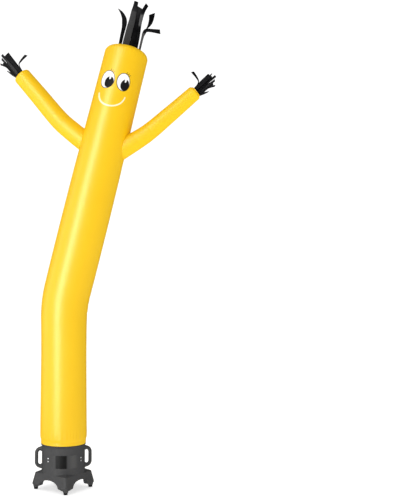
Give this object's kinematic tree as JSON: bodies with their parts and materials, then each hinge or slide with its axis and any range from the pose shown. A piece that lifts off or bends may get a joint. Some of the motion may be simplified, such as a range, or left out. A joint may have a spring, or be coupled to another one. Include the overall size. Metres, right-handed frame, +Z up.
{
  "type": "inflatable air dancer on blower",
  "caption": "Tall inflated cloth tube figure with raised tapered arms and ribbon tufts at crown and cuffs, strapped to the collar of an upright round blower housing with legs.",
  "frame": {"origin": "middle of the bounding box's base, on the ground that the four feet stand on; the blower's axis is 0.280 m from it towards -X", "axes": "+Z up; the dancer leans towards +X; +Y points away from the blower's front leg and along the shortest side of the bounding box, so the figure's face looks along -Y and a little to +X"},
  "size_m": [1.4398, 0.5334, 3.3138],
  "materials": {
    "tube_cloth": "satin ripstop nylon, yellow",
    "streamer_cloth": "semi-gloss nylon ribbon, black",
    "housing_plastic": "satin moulded plastic, dark grey",
    "strap_webbing": "matt webbing, near black",
    "bare_steel": "bright zinc-plated steel",
    "foot_rubber": "matt black rubber"
  },
  "bodies": {
    "root": {"body_tube": "tube_cloth", "arm_left": "tube_cloth", "arm_right": "tube_cloth", "hair": "streamer_cloth", "fingers_left": "streamer_cloth", "fingers_right": "streamer_cloth", "housing": "housing_plastic", "collar_strap": "strap_webbing", "grille": "bare_steel", "front_plate": "housing_plastic", "rim_screw_1": "bare_steel", "rim_screw_2": "bare_steel", "rim_screw_3": "bare_steel", "rim_screw_4": "bare_steel", "rim_screw_5": "bare_steel", "rim_screw_6": "bare_steel", "rivet_left_low": "bare_steel", "rivet_left_high": "bare_steel", "rivet_right_low": "bare_steel", "rivet_right_high": "bare_steel", "foot_right": "foot_rubber", "foot_back": "foot_rubber", "foot_left": "foot_rubber", "foot_front": "foot_rubber"}
  },
  "joints": []
}
